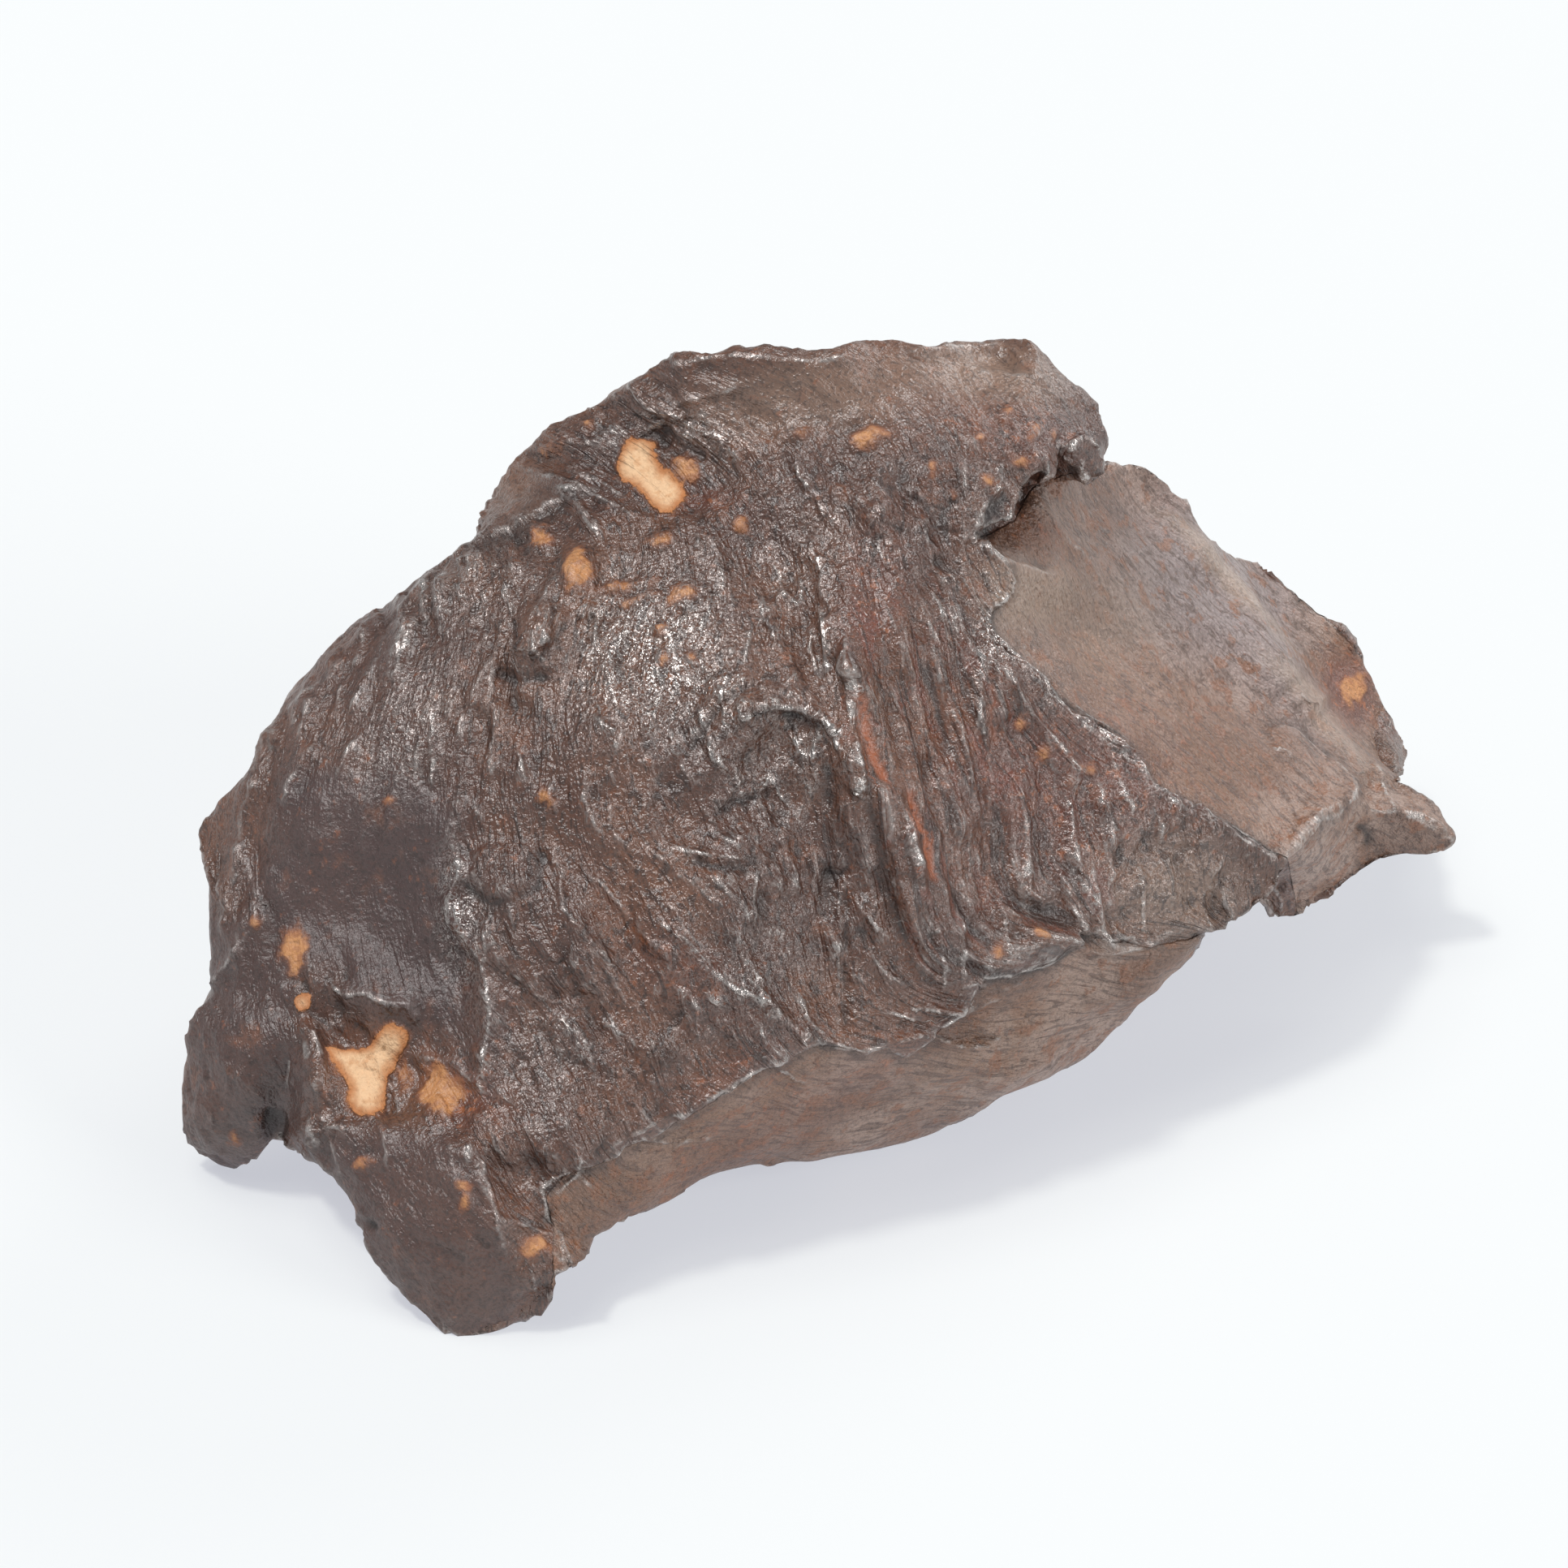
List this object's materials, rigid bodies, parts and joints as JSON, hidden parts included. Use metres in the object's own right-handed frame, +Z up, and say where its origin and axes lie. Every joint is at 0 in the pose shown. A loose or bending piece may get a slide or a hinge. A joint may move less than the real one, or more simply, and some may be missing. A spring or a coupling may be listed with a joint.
{
  "type": "iron meteorite",
  "caption": "Torn, shrapnel-like iron meteorite: scored domed front, hollowed right face with a spur, sharp rims, and feet and a belly that it rests on.",
  "frame": {"origin": "middle of the bounding box at the table", "axes": "+X along its length, from the feet to the spur; +Z up as it rests; the scored front faces -Y"},
  "size_m": [0.0788, 0.0606, 0.0443],
  "materials": {
    "iron": "dark brown rusted iron with bare silvery rims and patches of pale crust"
  },
  "bodies": {
    "root": {"meteorite": "iron"}
  },
  "joints": []
}
